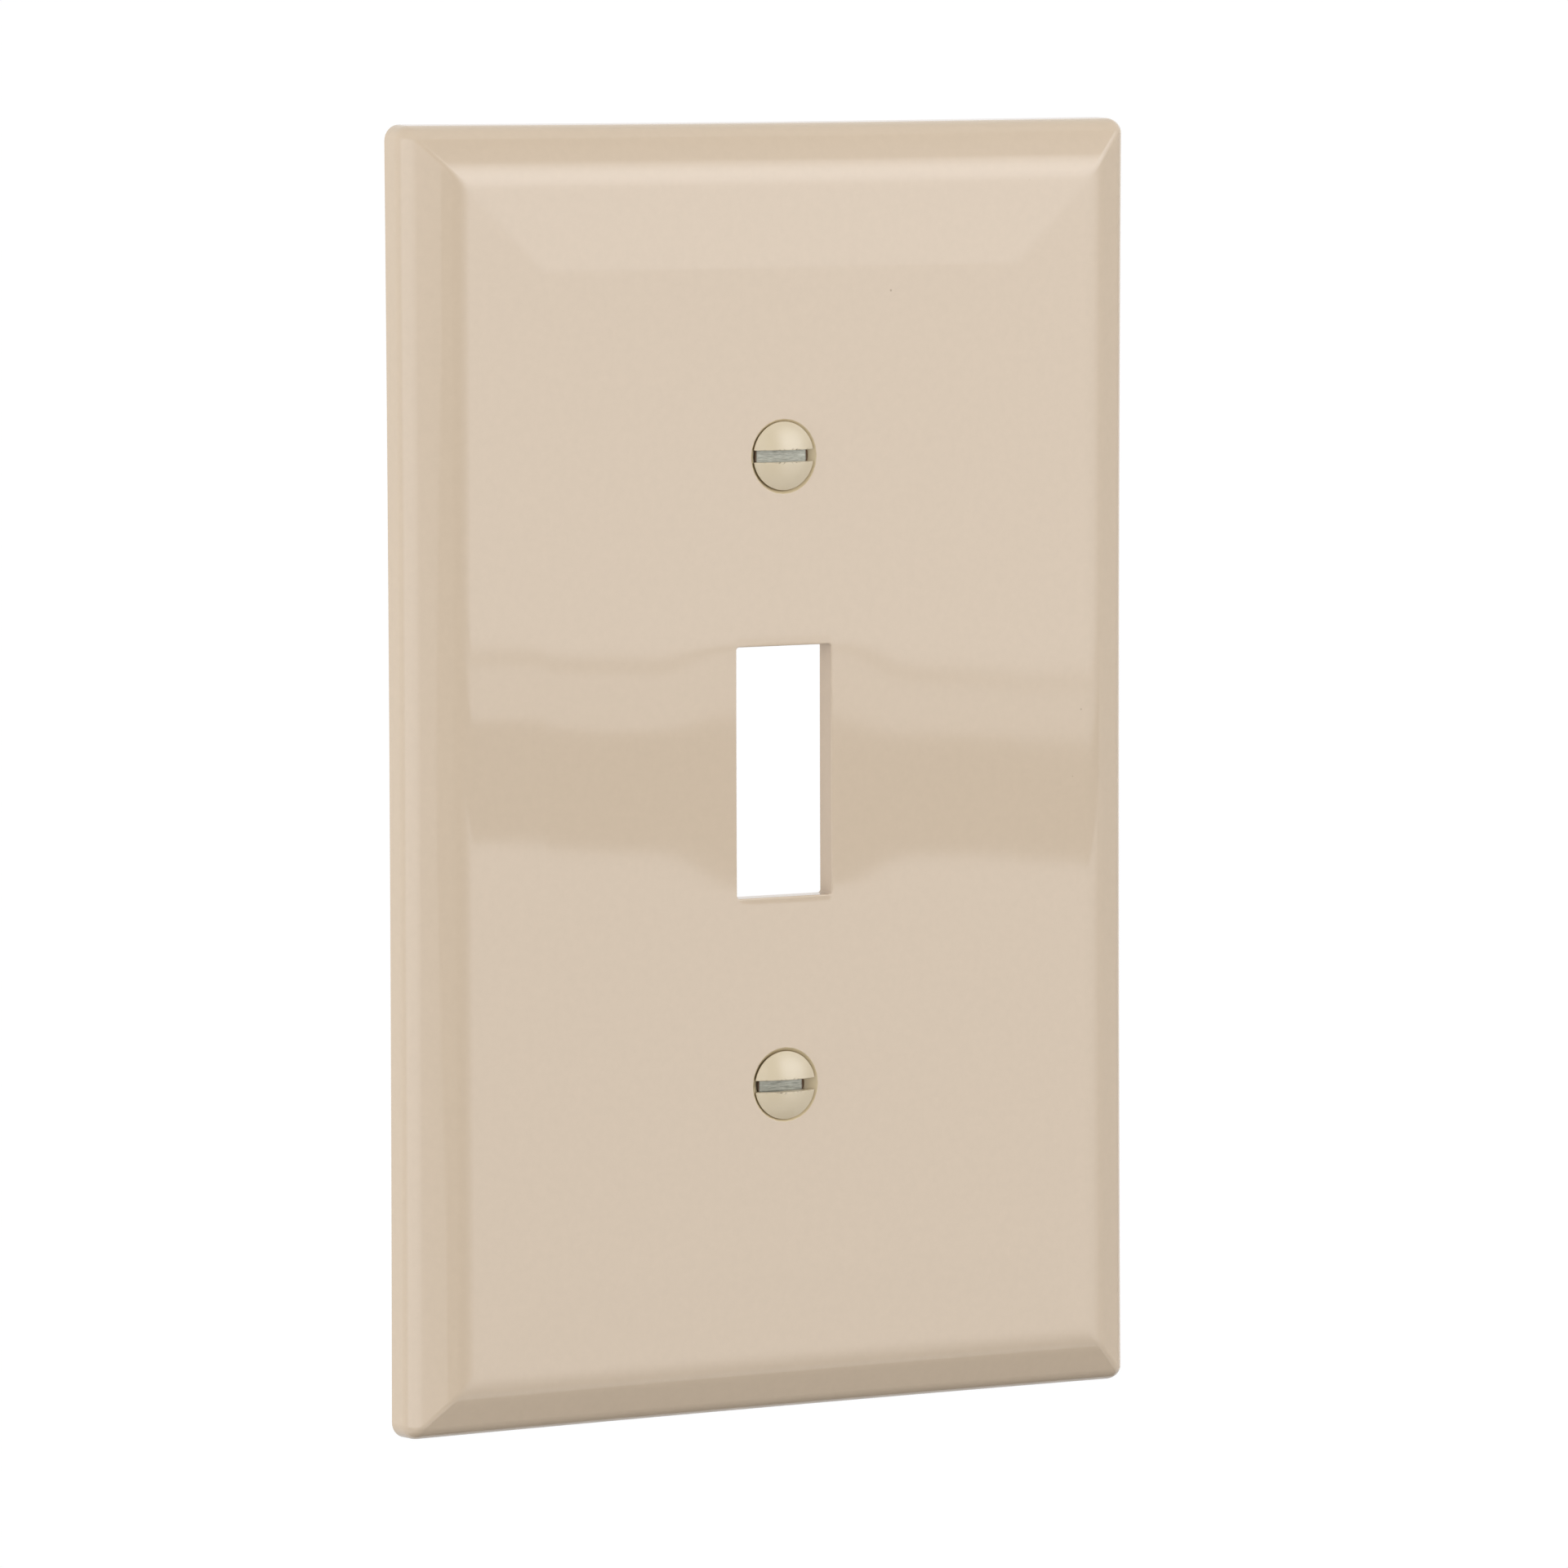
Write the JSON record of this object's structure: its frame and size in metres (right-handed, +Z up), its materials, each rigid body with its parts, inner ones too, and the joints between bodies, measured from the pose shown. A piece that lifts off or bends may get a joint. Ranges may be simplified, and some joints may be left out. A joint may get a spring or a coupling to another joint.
{
  "type": "toggle switch wall plate",
  "caption": "Rectangular moulded wall plate with bevelled edges, a central toggle opening and slotted oval-head screws above and below it.",
  "frame": {"origin": "in the wall plane (the plane of the rim's back face), midway between the two screws, behind the centre of the toggle opening", "axes": "+Z up as installed, -Y out of the face towards the room, +Y into the wall along the screws' free ends, +X to the right seen from the front"},
  "size_m": [0.0794, 0.0138, 0.124],
  "materials": {
    "plate_plastic": "glossy moulded thermoplastic, light almond",
    "screw_steel": "zinc-plated steel, head painted light almond, bare in the slot and on the thread"
  },
  "bodies": {
    "plate": {"wall_plate": "plate_plastic"},
    "screw_above": {"upper_screw": "screw_steel"},
    "screw_below": {"lower_screw": "screw_steel"}
  },
  "joints": [
    {"name": "upper_screw_turn", "type": "hinge", "parent": "plate", "child": "screw_above", "pos_m": [0, 0, 0.03016], "axis": [0, 1, 0], "continuous": true},
    {"name": "lower_screw_turn", "type": "hinge", "parent": "plate", "child": "screw_below", "pos_m": [0, 0, -0.03016], "axis": [0, 1, 0], "continuous": true}
  ]
}
